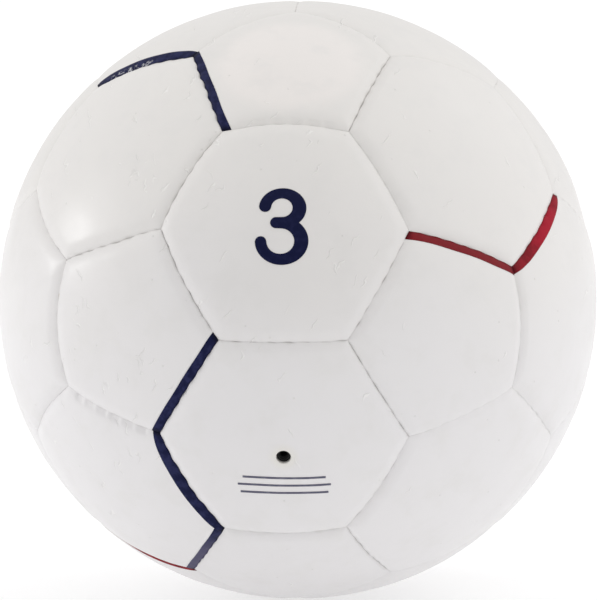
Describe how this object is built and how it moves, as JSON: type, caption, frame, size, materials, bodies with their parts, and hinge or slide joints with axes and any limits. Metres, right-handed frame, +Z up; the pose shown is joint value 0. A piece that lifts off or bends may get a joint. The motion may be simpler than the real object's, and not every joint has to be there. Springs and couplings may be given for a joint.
{
  "type": "handball",
  "caption": "Hand-sewn size 3 handball: stitched panels with cloth linings round an inflated rubber bladder with a needle valve.",
  "frame": {"origin": "centre of the ball", "axes": "+Z up; -Y out of the ball through the middle of the seam between the panel with the numeral, above, and the panel with the valve, below; X along that seam"},
  "size_m": [0.1878, 0.1878, 0.188],
  "materials": {
    "cover": "satin",
    "lining": "matte",
    "thread": "waxed",
    "bladder": "matte",
    "valve_rubber": "matte",
    "navy_ink": "satin",
    "red_ink": "satin"
  },
  "bodies": {
    "root": {"number_panel": "cover", "valve_panel": "cover", "hexagon_panel_01": "cover", "hexagon_panel_02": "cover", "hexagon_panel_03": "cover", "hexagon_panel_04": "cover", "hexagon_panel_05": "cover", "hexagon_panel_06": "cover", "hexagon_panel_07": "cover", "hexagon_panel_08": "cover", "hexagon_panel_09": "cover", "hexagon_panel_10": "cover", "hexagon_panel_11": "cover", "hexagon_panel_12": "cover", "hexagon_panel_13": "cover", "hexagon_panel_14": "cover", "hexagon_panel_15": "cover", "hexagon_panel_16": "cover", "hexagon_panel_17": "cover", "hexagon_panel_18": "cover", "pentagon_panel_01": "cover", "pentagon_panel_02": "cover", "pentagon_panel_03": "cover", "pentagon_panel_04": "cover", "pentagon_panel_05": "cover", "pentagon_panel_06": "cover", "pentagon_panel_07": "cover", "pentagon_panel_08": "cover", "pentagon_panel_09": "cover", "pentagon_panel_10": "cover", "pentagon_panel_11": "cover", "pentagon_panel_12": "cover", "hexagon_linings": "lining", "pentagon_linings": "lining", "hexagon_seam_threads": "thread", "pentagon_seam_threads": "thread", "bladder": "bladder", "valve_neck": "valve_rubber", "valve_core": "valve_rubber", "navy_bands": "navy_ink", "red_bands": "red_ink", "numeral_print": "navy_ink", "valve_lines": "navy_ink"}
  },
  "joints": []
}
